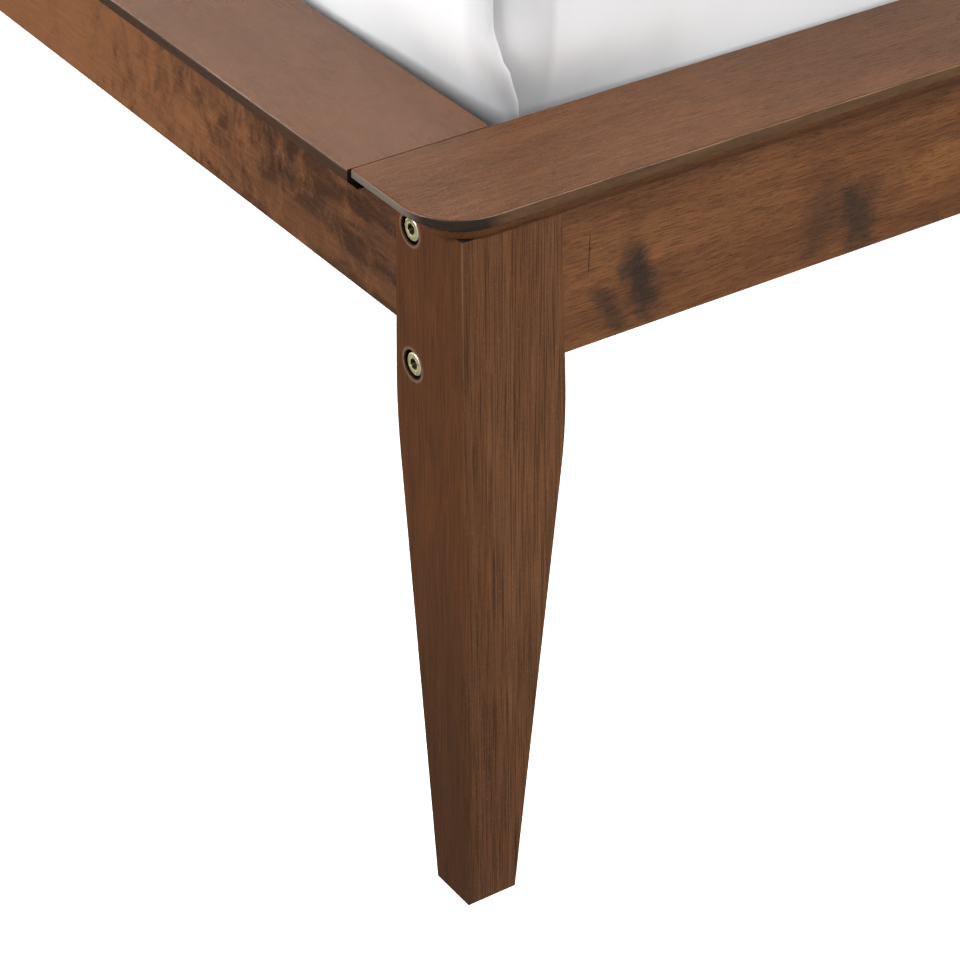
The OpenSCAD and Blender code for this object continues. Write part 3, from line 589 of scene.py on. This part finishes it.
def pleat_painted_shade(m, c):
    """Painted shade in the folds beside the corner pleats and at the drawn-in bottom near the corners, and a painted
    darker top mottled by noise.
    """
    x, y, z = m.split(m.co)[:3]
    ax = m.math("ABSOLUTE", x)
    ey = m.math("MINIMUM", m.math("ABSOLUTE", m.math("SUBTRACT", y, YL + 0.0835)), m.math("ABSOLUTE", m.math("SUBTRACT", y, YH - 0.02)))
    n = m.noise(m.map(m.co, scale=(28, 28, 20)), 1.0, 4.0, 0.6)
    end = m.remap(ey, 0.030, 0.012)
    # painted shade: grey near the bottom of the sides close to the corners
    painted_tuck_shade = m.remap(m.math("ADD", z, m.math("MULTIPLY", n, 0.024)), 0.478, 0.440, 0.0, 1.0, True)
    near = m.remap(m.math("MAXIMUM", m.math("SUBTRACT", 0.758, ax), ey), 0.15, 0.015, 0.12, 1.0, True)
    c = m.mix(m.math("MULTIPLY", m.math("MULTIPLY", painted_tuck_shade, near), 0.62), c, (0.335, 0.345, 0.365))
    # painted shade: grey in the fold beside each corner pleat's free edge
    painted_pleat_shade = m.math("MULTIPLY", m.remap(ax, 0.7235, 0.7275), m.remap(z, 0.60, 0.50, 0.0, 1.0, True))
    painted_pleat_shade = m.math("MULTIPLY", m.math("MULTIPLY", painted_pleat_shade, end), m.remap(n, 0.3, 0.65, 0.45, 1.0))
    c = m.mix(m.math("MULTIPLY", painted_pleat_shade, 0.45), c, (0.40, 0.405, 0.415))
    # painted shade: the top is painted darker than the sides, mottled by noise
    crease = m.noise(m.map(m.co, scale=(3.0, 2.2, 3.0), loc=(2, 8, 1)), 1.0, 4.0, 0.6, 0.5)
    upper = m.mix(m.remap(crease, 0.40, 0.62), (0.53, 0.535, 0.55), (0.47, 0.477, 0.495))
    return m.mix(m.remap(z, B_TOP - 0.035, B_TOP - 0.004, 0.0, 0.95, True), c, upper)


sheet_mat = cloth("white_percale", (0.78, 0.785, 0.795), (0.75, 0.755, 0.77), 0.0011, marks=pleat_painted_shade)
ticking_mat = cloth("knit_ticking", (0.74, 0.73, 0.70), (0.68, 0.67, 0.64), 0.0032)

# ------------------------------------------------------------------ give every CAD node its finish
for n, o in NODES.items():
    if n.startswith("slat_cleat") or n == "centre_beam":
        dress(o, pine_y_mat)
    elif n.startswith("centre_leg_") and n != "centre_leg_bolts":
        dress(o, pine_z_mat)
    elif n.startswith("slat_tape"):
        dress(o, webbing_mat)
    elif n.startswith("slat_") and n != "slat_screws":
        dress(o, pine_mat)
    elif n in ("cap_dowels", "rail_dowels"):
        dress(o, pine_z_mat)
    elif n in ("foot_bolts", "head_bolts"):
        dress(o, bolt_mat)
    elif n in ("leveller_foot", "leveller_middle", "leveller_head"):
        dress(o, plastic_mat)
    elif n == "mattress":
        dress(o, ticking_mat)
    elif n == "fitted_sheet":
        dress(o, sheet_mat)
    elif n in ("foot_rail", "head_rail"):
        dress(o, foot_rail_mat)
    elif n.startswith("side_rail"):
        dress(o, side_rail_mat)
    elif n.startswith("side_cap"):
        dress(o, side_cap_mat)
    elif n == "foot_cap":
        dress(o, foot_cap_mat)
    elif n.startswith(("foot_leg", "head_post")):
        dress(o, leg_mat)
    elif n.startswith("headboard"):
        dress(o, head_mat)
    else:
        dress(o, steel_mat)

for n in NODES:
    if n in ("foot_rail", "head_rail", "side_rail_left", "side_rail_right", "side_cap_left", "side_cap_right", "headboard_base_rail", "headboard_panel"):
        cad_soft(n, 0.0010, 30.0, 2)
    elif n.startswith(("slat_0", "slat_1", "slat_cleat", "centre_beam", "centre_leg_f", "centre_leg_m", "centre_leg_h")):
        cad_soft(n, 0.0012, 60.0, 2)
    elif n in ("foot_bolts", "head_bolts"):
        cad_soft(n, 0.0004, 40.0, 2)


# ------------------------------------------------------------------ corner legs and posts
def arris(e):
    a, b = (f.normal for f in e.link_faces)
    if max(abs(a.z), abs(b.z)) > 0.75:
        return 0.6
    if min(max(abs(a.x), abs(a.y)), max(abs(b.x), abs(b.y))) > 0.93 and (abs(a.x) > 0.9) != (abs(b.x) > 0.9):
        return 1.0
    return 0.28


def post_arris(e):
    a, b = (f.normal for f in e.link_faces)
    if (abs(a.x) > 0.9) != (abs(b.x) > 0.9) and e.calc_length() > 0.0007:
        mid = (e.verts[0].co + e.verts[1].co) / 2
        return 0.16 if abs(mid.z - 0.37) < 0.055 and abs(mid.x) > XL - 0.012 and (e.calc_length() < 0.003) else 1.0
    return 0.2


for side in ("left", "right"):
    for piece in (softened("foot_leg_" + side, 0.0007, arris), softened("head_post_" + side, 0.0007, post_arris)):
        dress(piece, leg_mat)


# ------------------------------------------------------------------ foot cap
def foot_cap():
    """Upper board with a rounded, sealed edge over a set-back lower board, lapped over the side caps."""
    half, arc_n, front_n, end_n = XL + 0.0165, 18, 60, 8
    y0, y1 = YL - 0.005, YL + 0.0755
    lap = YL + 0.040

    def outline(inset_x, inset_y, r, back):
        """From the back of the left end to the middle of the front: points, normals, blend."""
        pts, nrm, t = [], [], []
        x, y = -half + inset_x, y0 + inset_y
        for i in range(end_n):
            pts.append((x, back + (y + r - back) * i / end_n)); nrm.append((-1, 0)); t.append(0.0)
        for i in range(arc_n + 1):
            a = math.pi / 2 * i / arc_n
            pts.append((x + r - r * math.cos(a), y + r - r * math.sin(a)))
            nrm.append((-math.cos(a), -math.sin(a)))
            k = i / arc_n
            t.append(k * k * (3 - 2 * k))
        for i in range(1, front_n + 1):
            pts.append((x + r + (0 - x - r) * i / front_n, y)); nrm.append((0, -1)); t.append(1.0)
        full = [(p, n, k) for p, n, k in zip(pts, nrm, t)]
        return full + [((-p[0], p[1]), (-n[0], n[1]), k) for p, n, k in reversed(full[:-1])]

    bm = bmesh.new()
    up = outline(0, 0, 0.033, y1)
    low = outline(0.008, 0.0008, 0.0255, lap)
    mid = lambda a, b, t: a + (b - a) * t

    def ring(path, inset, z):
        out = []
        for p, n, t in path:
            i = inset(t) if callable(inset) else inset
            out.append(bm.verts.new((p[0] - n[0] * i, p[1] - n[1] * i, z(t) if callable(z) else z)))
        return out

    def square_ends(v, y):
        for q in (v[0], v[-1]):
            q.co.y = y

    def loft(rings, ys, mats):
        for r, y in zip(rings, ys):
            square_ends(r, y)
        for k in range(len(rings) - 1):
            a, b = rings[k], rings[k + 1]
            for i in range(len(a)):
                j = (i + 1) % len(a)
                f = bm.faces.new((a[j], a[i], b[i], b[j]))
                f.material_index = mats[k] if j else 0
        top = bm.faces.new(rings[0][::-1])
        bot = bm.faces.new(rings[-1])
        top.material_index = bot.material_index = 0

    land = lambda t: mid(0.431, 0.429, t)
    rings = [
        ring(up, 0.0011, 0.436),
        ring(up, 0.00055, 0.43588),
        ring(up, 0.00016, 0.43555),
        ring(up, 0.0, 0.4350),
        ring(up, 0.0, lambda t: land(t) + 0.0007),
        ring(up, 0.0002, lambda t: land(t) + 0.0002),
        ring(up, 0.0008, land),
        ring(up, lambda t: mid(0.0030, 0.0032, t), 0.4310),
    ]
    loft(rings, [y1] * 8, [0, 0, 1, 1, 1, 1, 1])
    rings = [
        ring(low, 0.0012, 0.4312),
        ring(low, 0.0, lambda t: mid(0.4309, 0.4287, t)),
        ring(low, lambda t: mid(0.0002, 0.0005, t), 0.4258),
        ring(low, lambda t: mid(0.0004, 0.0012, t), 0.4238),
        ring(low, lambda t: mid(0.0010, 0.0020, t), 0.4231),
        ring(low, lambda t: mid(0.0018, 0.0030, t), 0.4230),
    ]
    loft(rings, [lap] * 6, [0, 0, 0, 0, 0])
    # the middle of the lower board runs on to the inner edge between the lapped side caps
    xa = XL - 0.0405
    for sx in (1,):
        v = [bm.verts.new(q) for q in ((-xa, lap - 0.001, 0.4230), (xa, lap - 0.001, 0.4230), (xa, y1 - 0.0002, 0.4230), (-xa, y1 - 0.0002, 0.4230), (-xa, lap - 0.001, 0.4312), (xa, lap - 0.001, 0.4312), (xa, y1 - 0.0002, 0.4312), (-xa, y1 - 0.0002, 0.4312))]
        for f in ((3, 2, 1, 0), (4, 5, 6, 7), (0, 1, 5, 4), (2, 3, 7, 6), (1, 2, 6, 5), (3, 0, 4, 7)):
            bm.faces.new([v[i] for i in f])
    me = bpy.data.meshes.new("foot_cap_board")
    bm.normal_update()
    bm.to_mesh(me)
    bm.free()
    o = link("foot_cap_board", me)
    me.materials.append(foot_cap_mat)
    me.materials.append(edge_mat)
    shade(o, 40.0)
    w = o.modifiers.new("normals", "WEIGHTED_NORMAL")
    w.keep_sharp = True
    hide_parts("foot_cap")
    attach(o, "frame")
    return o


foot_cap()


# ------------------------------------------------------------------ bedding
from mathutils import noise as mnoise


def wobble(x, y, z=0.0, octaves=3):
    v, k, q = 0.0, 1.0, 1.0
    for _ in range(octaves):
        v += mnoise.noise(Vector((x * q, y * q, z + q * 7.1))) * k
        q *= 2.03
        k *= 0.5
    return v


def step(a, b, v):
    t = min(1.0, max(0.0, (v - a) / (b - a)))
    return t * t * (3 - 2 * t)


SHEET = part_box("fitted_sheet")
BW, BH = SHEET[1][0] - SHEET[0][0], SHEET[1][1] - SHEET[0][1]
BY, BR = (SHEET[0][1] + SHEET[1][1]) / 2, 0.031
B_LOW = SHEET[0][2]
LEGS = [BW / 2 - BR, math.pi / 2 * BR, BH - 2 * BR, math.pi / 2 * BR, BW - 2 * BR, math.pi / 2 * BR, BH - 2 * BR, math.pi / 2 * BR, BW / 2 - BR]
CUM = [0.0]
for q in LEGS:
    CUM.append(CUM[-1] + q)
TOTAL = CUM[-1]


def around(s):
    """Point and outward normal on the bed's outline, from the middle of the foot, clockwise seen from above."""
    s %= TOTAL
    k = max(i for i in range(9) if CUM[i] <= s + 1e-12)
    d = s - CUM[k]
    hx, hy = BW / 2 - BR, BH / 2 - BR
    if k == 0:
        return -d, BY - BH / 2, 0, -1
    if k == 8:
        return hx - d, BY - BH / 2, 0, -1
    if k == 2:
        return -BW / 2, BY - hy + d, -1, 0
    if k == 4:
        return -hx + d, BY + BH / 2, 0, 1
    if k == 6:
        return BW / 2, BY + hy - d, 1, 0
    a = d / BR
    cx, cy, st = {1: (-hx, BY - hy, -math.pi / 2), 3: (-hx, BY + hy, math.pi), 5: (hx, BY + hy, math.pi / 2), 7: (hx, BY - hy, 0)}[k]
    an = st - a
    return cx + BR * math.cos(an), cy + BR * math.sin(an), math.cos(an), math.sin(an)


def pull_in(s, z):
    """How far the side draws in near the bottom, most at the corners."""
    near = min(abs(s - (CUM[k] + CUM[k + 1]) / 2) for k in (1, 3, 5, 7))
    deep = 0.0020 + 0.0105 * step(0.17, 0.02, near)
    return deep * step(0.470, 0.412, z) + 0.004 * step(0.40, 0.375, z)


# fold path of a corner pleat: along the outline (mm), out from it (mm)
PLEAT = [(-34, 0), (-28, 0), (-22, 0), (-16, 0), (-11, 0), (-6, 0), (-2, 0), (3, 0), (9, 0), (15, 0.1), (18, 0.3), (19, 0.7), (18, 1.1), (13, 1.2), (7, 1.3), (2, 1.4), (-0.6, 1.6), (-1.9, 2.2), (-2.6, 3.2), (-2.6, 4.3), (-1.8, 5.4), (-0.4, 6.3), (1.6, 6.9), (4, 7.1), (7, 6.6), (10, 5.6), (13, 4.2), (17, 2.6), (22, 1.3), (28, 0.8), (35, 1.2), (43, 2.0), (52, 2.2), (62, 1.6), (73, 0.7), (85, 0)]
EDGE_AT = [(0.37, 76), (0.40, 69), (0.43, 61), (0.449, 52), (0.464, 41), (0.479, 34), (0.50, 33), (0.54, 38), (0.60, 44), (0.70, 45)]


def edge_angle(k, z):
    if k != 1:
        return 45 + 9 * math.sin(z * 38 + k)
    for (z1, a1), (z2, a2) in zip(EDGE_AT, EDGE_AT[1:]):
        if z <= z2:
            return a1 + (a2 - a1) * step(z1, z2, z)
    return 45


def side_offset(s, z, k=None):
    near = min(abs(s - (CUM[q] + CUM[q + 1]) / 2) for q in (1, 3, 5, 7))
    wave = 0.0016 * wobble(s * 11, z * 3.6 + s * 2.2, 3.0) + 0.0005 * wobble(s * 38, z * 22, 6.0) + 0.0014 * step(0.5, 0.05, near) * wobble(s * 26, z * 4.5, 9.0)
    foot = 0.0
    if s < 1.0:
        foot = 0.0019 * step(0.7285, 0.7235, s) * step(0.45, 0.70, s) - 0.0006 * step(0.727, 0.735, s) * step(0.775, 0.755, s)
        foot *= step(0.60, 0.52, z)
    return wave * step(B_TOP + 0.02, B_TOP - 0.08, z) + foot - pull_in(s, z)


def columns():
    cols, taken = [], []
    for k in (1, 3, 5, 7):
        flip = k in (3, 7)
        mid_s = (CUM[k] + CUM[k + 1]) / 2
        seq = [(-d, o) for d, o in reversed(PLEAT)] if flip else PLEAT
        taken.append((mid_s + seq[0][0] / 1000, mid_s + seq[-1][0] / 1000, k, flip, seq))
    s, i = 0.0, 0
    while s < TOTAL - 0.004:
        if i < 4 and s >= taken[i][0] - 0.003:
            a, b, k, flip, seq = taken[i]
            mid_s = (CUM[k] + CUM[k + 1]) / 2
            for d, o in seq:
                cols.append(("fold", k, flip, mid_s, d / 1000, o / 1000))
            s = b + 0.007
            i += 1
            continue
        cols.append(("plain", s))
        near = min([abs(s - t[0]) for t in taken] + [abs(s - t[1]) for t in taken])
        d = 0.007 if near < 0.12 else 0.012 if near < 0.25 else 0.026
        nxt = s + d
        if i < 4 and nxt > taken[i][0] - 0.003:
            nxt = max(taken[i][0] - 0.003, s + 0.003)
        s = nxt
    return cols


def place(col, z, close=1.0):
    """Outline position and outward offset of one column at height z."""
    if col[0] == "plain":
        return col[1], side_offset(col[1], z)
    _, k, flip, mid_s, d, o = col
    ang = math.radians(45 - edge_angle(k, z)) * BR
    shift = -ang if flip else ang
    fade = max(0.0, 1 - abs(d) / (0.085 if (d > 0) != flip else 0.034))
    w = close * (1 - 0.72 * step(0.50, B_TOP - 0.02, z))
    dd = d * w if (0 < d < 0.02 and o < 0.002) or (-0.02 < d < 0 and flip and o < 0.002) else d
    s = mid_s + dd + shift * fade
    return s, o * w + side_offset(s, z)


def sheet_cloth():
    cols = columns()
    rt = 0.030
    rows = []
    side = [B_LOW + 0.002 + (B_TOP - rt - B_LOW - 0.002) * (i / 34) for i in range(35)]
    for z in side:
        row = []
        for c in cols:
            s, off = place(c, z)
            x, y, nx, ny = around(s)
            row.append((x + nx * off, y + ny * off, z))
        rows.append(row)
    base_z = B_TOP - rt
    for j in range(1, 7):
        a = math.pi / 2 * j / 6
        row = []
        for c in cols:
            s, off = place(c, base_z, 1 - 0.5 * j / 6)
            x, y, nx, ny = around(s)
            off = off * (1 - j / 6) - rt * (1 - math.cos(a)) * 0.98
            row.append((x + nx * off, y + ny * off, base_z + rt * math.sin(a)))
        rows.append(row)
    last = rows[-1]
    reach = (BH - BW) / 2
    for j in range(1, 27):
        t = (j / 26) ** 1.35
        row = []
        for x, y, z in last:
            ty = min(max(y, BY - reach), BY + reach)
            px, py = x * (1 - t), y + (ty - y) * t
            ex, ey = 1 - (abs(px) / (BW / 2)) ** 3, 1 - (abs(py - BY) / (BH / 2)) ** 4
            crown = 0.0065 * max(0, ex) * max(0, ey)
            m = step(0.0, 0.10, BW / 2 - abs(px)) * step(0.0, 0.10, BH / 2 - abs(py - BY))
            r = abs(wobble(px * 3.1 + py * 0.9, py * 1.7 - px * 0.6, 2.0, 3))
            fold = 0.0030 * max(0.0, 1 - r * 5.5) ** 2
            fine = 0.0009 * wobble(px * 14, py * 11, 5.0)
            row.append((px, py, B_TOP + crown + m * (fold + fine)))
        rows.append(row)
    n = len(cols)
    verts = [p for r in rows for p in r]
    faces = []
    for r in range(len(rows) - 1):
        for i in range(n):
            j = (i + 1) % n
            faces.append((r * n + i, (r + 1) * n + i, (r + 1) * n + j, r * n + j))
    me = bpy.data.meshes.new("sheet_cloth")
    me.from_pydata(verts, [], faces)
    me.update()
    bm = bmesh.new()
    bm.from_mesh(me)
    bmesh.ops.remove_doubles(bm, verts=[v for v in bm.verts if abs(v.co.x) < 1e-4 and v.co.z > B_TOP - 0.01], dist=0.004)
    bmesh.ops.recalc_face_normals(bm, faces=bm.faces)
    if sum(f.normal.z for f in bm.faces if f.calc_center_median().z > B_TOP - 0.001) < 0:
        bmesh.ops.reverse_faces(bm, faces=bm.faces)
    bm.to_mesh(me)
    bm.free()
    me.shade_smooth()
    o = link("sheet_cloth", me)
    dress(o, sheet_mat)
    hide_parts("fitted_sheet")
    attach(o, "bedding")
    return o


def mattress_pad():
    """Crowned mattress: quilted panels, a plain border and a corded tape edge round each panel."""
    lo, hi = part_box("mattress")
    n = 260
    prof = []  # inset from the outline, height
    zt, zb = hi[2] - 0.004, lo[2] + 0.001
    for i in range(7):
        a = math.pi / 2 * i / 6
        prof.append((0.009 + 0.016 * (1 - math.sin(a)), zb + 0.016 * (1 - math.cos(a))))
    for i in range(1, 12):
        t = i / 12
        prof.append((0.007 - 0.0022 * math.sin(math.pi * t), zb + 0.016 + (zt - zb - 0.042) * t))
    for i in range(7):
        a = math.pi / 2 * i / 6
        prof.append((0.007 + 0.026 * (1 - math.cos(a)), zt - 0.026 + 0.026 * math.sin(a)))
    verts, faces = [], []
    for inset, z in prof:
        for i in range(n):
            s = TOTAL * i / n
            x, y, nx, ny = around(s)
            k = inset + pull_in(s, z)
            verts.append((x - nx * k, y - ny * k, z))
    rings = len(prof)

    def panel(start, z0, sign, first):
        """Quilted panel rings towards the middle line."""
        nonlocal rings
        base = verts[start : start + n]
        reach = (BH - BW) / 2
        prev = start
        for j in range(1, 15):
            t = j / 14
            cur = len(verts)
            for x, y, z in base:
                ty = min(max(y, BY - reach), BY + reach)
                px, py = x * (1 - t), y + (ty - y) * t
                q = abs(math.sin(px * math.pi / 0.127) * math.sin((py - BY) * math.pi / 0.127)) ** 0.5
                edge = step(0, 0.06, min(BW / 2 - abs(px), BH / 2 - abs(py - BY)))
                crown = 0.004 * max(0, 1 - (abs(px) / (BW / 2)) ** 3) if sign > 0 else 0.0
                verts.append((px, py, z0 + sign * (crown + 0.0016 * q * edge) if sign > 0 else z0 - 0.0009 * q * edge))
            for i in range(n):
                k = (i + 1) % n
                quad = (prev + i, cur + i, cur + k, prev + k)
                faces.append(quad if sign > 0 else quad[::-1])
            prev = cur

    for r in range(rings - 1):
        for i in range(n):
            k = (i + 1) % n
            faces.append((r * n + i, (r + 1) * n + i, (r + 1) * n + k, r * n + k))
    panel((rings - 1) * n, zt, 1, False)
    panel(0, zb, -1, True)
    me = bpy.data.meshes.new("mattress_pad")
    me.from_pydata(verts, [], faces)
    me.update()
    bm = bmesh.new()
    bm.from_mesh(me)
    bmesh.ops.remove_doubles(bm, verts=[v for v in bm.verts if abs(v.co.x) < 1e-4], dist=0.012)
    bmesh.ops.recalc_face_normals(bm, faces=bm.faces)
    # corded tape edge, low and high
    for zc, inset in ((zb + 0.013, 0.0085), (zt - 0.020, 0.0085)):
        ring = []
        for i in range(n):
            x, y, nx, ny = around(TOTAL * i / n)
            k = inset + pull_in(TOTAL * i / n, zc)
            c = Vector((x - nx * k, y - ny * k, zc))
            ring.append([bm.verts.new(c + Vector((nx, ny, 0)) * 0.0034 * math.cos(a) + Vector((0, 0, 0.0034 * math.sin(a)))) for a in (j * math.pi / 3 for j in range(6))])
        for i in range(n):
            a, b = ring[i], ring[(i + 1) % n]
            for j in range(6):
                bm.faces.new((a[j], b[j], b[(j + 1) % 6], a[(j + 1) % 6]))
    bm.to_mesh(me)
    bm.free()
    me.shade_smooth()
    o = link("mattress_pad", me)
    dress(o, ticking_mat)
    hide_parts("mattress")
    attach(o, "bedding")
    return o


mattress_pad()
sheet_cloth()


# ------------------------------------------------------------------ floor and light
def floor():
    bm = bmesh.new()
    for x, y in ((-30, -30), (30, -30), (30, 30), (-30, 30)):
        bm.verts.new((x, y, -0.0005))
    bm.faces.new(bm.verts)
    me = bpy.data.meshes.new("floor")
    bm.to_mesh(me)
    bm.free()
    o = link("floor", me)
    m = Mat("pale_floor")
    n = m.noise(m.map(m.co, scale=(1.5, 1.5, 1.5)), 1.0, 3.0)
    m.set(Base_Color=m.ramp(n, (0.3, (0.86, 0.86, 0.86)), (0.7, (0.88, 0.88, 0.88))), Roughness=0.9)
    m.bsdf.inputs["Emission Color"].default_value = (1, 1, 1, 1)
    m.bsdf.inputs["Emission Strength"].default_value = 0.75
    dress(o, m.mat)
    o.visible_glossy = False
    o.visible_diffuse = False


def backdrop():
    """A far white wall all round, seen by the camera only, so that low views have no dark horizon."""
    n, r, h = 64, 29.5, 26.0
    ring = [(r * math.cos(2 * math.pi * i / n), r * math.sin(2 * math.pi * i / n)) for i in range(n)]
    verts = [(x, y, -0.0004) for x, y in ring] + [(x, y, h) for x, y in ring]
    faces = [(i, n + i, n + (i + 1) % n, (i + 1) % n) for i in range(n)]
    me = bpy.data.meshes.new("backdrop")
    me.from_pydata(verts, [], faces)
    me.update()
    o = link("backdrop", me)
    m = Mat("pale_backdrop")
    n1 = m.noise(m.map(m.co, scale=(0.1, 0.1, 0.1)), 1.0, 2.0)
    m.set(Base_Color=m.ramp(n1, (0.3, (0.86, 0.86, 0.86)), (0.7, (0.88, 0.88, 0.88))), Roughness=0.9)
    m.bsdf.inputs["Emission Color"].default_value = (1, 1, 1, 1)
    m.bsdf.inputs["Emission Strength"].default_value = 0.95
    dress(o, m.mat)
    o.visible_glossy = o.visible_diffuse = o.visible_shadow = o.visible_transmission = False


floor()
backdrop()


def area(name, at, to, w, h, power, colour=(1, 1, 1)):
    d = bpy.data.lights.new(name, "AREA")
    d.shape = "RECTANGLE"
    d.size, d.size_y = w, h
    d.energy = power
    d.color = colour
    o = bpy.data.objects.new(name, d)
    at, to = Vector(at), Vector(to)
    o.matrix_world = Matrix.Translation(at) @ (to - at).to_track_quat("-Z", "Y").to_matrix().to_4x4()
    o.visible_camera = False
    scene.collection.objects.link(o)


corner = (-0.7, -1.0, 0.4)
area("top_soft", (-0.4, -0.6, 3.4), (-0.6, -0.8, 0.4), 2.6, 2.6, 46)
area("front_soft", (0.2, -4.2, 2.4), corner, 2.6, 1.8, 142)
area("left_soft", (-4.0, -0.2, 2.2), corner, 2.2, 1.8, 180)
area("back_soft", (0.5, 3.2, 1.9), (-0.8, -0.6, 0.4), 1.5, 0.7, 78)


def studio():
    w = bpy.data.worlds.new("studio")
    w.use_nodes = True
    t = w.node_tree
    bg = t.nodes["Background"]
    co = t.nodes.new("ShaderNodeTexCoord").outputs["Generated"]
    sep = t.nodes.new("ShaderNodeSeparateXYZ")
    t.links.new(co, sep.inputs[0])
    r = t.nodes.new("ShaderNodeValToRGB")
    t.links.new(sep.outputs[2], r.inputs[0])
    e = r.color_ramp.elements
    e[0].position, e[0].color = 0.0, (0.42, 0.42, 0.42, 1)
    e[1].position, e[1].color = 0.02, (0.86, 0.86, 0.86, 1)
    x = e.new(1.0)
    x.color = (1.0, 1.0, 1.0, 1)
    t.links.new(r.outputs[0], bg.inputs[0])
    bg.inputs[1].default_value = 0.45
    scene.world = w


studio()
scene.view_settings.view_transform = "Standard"
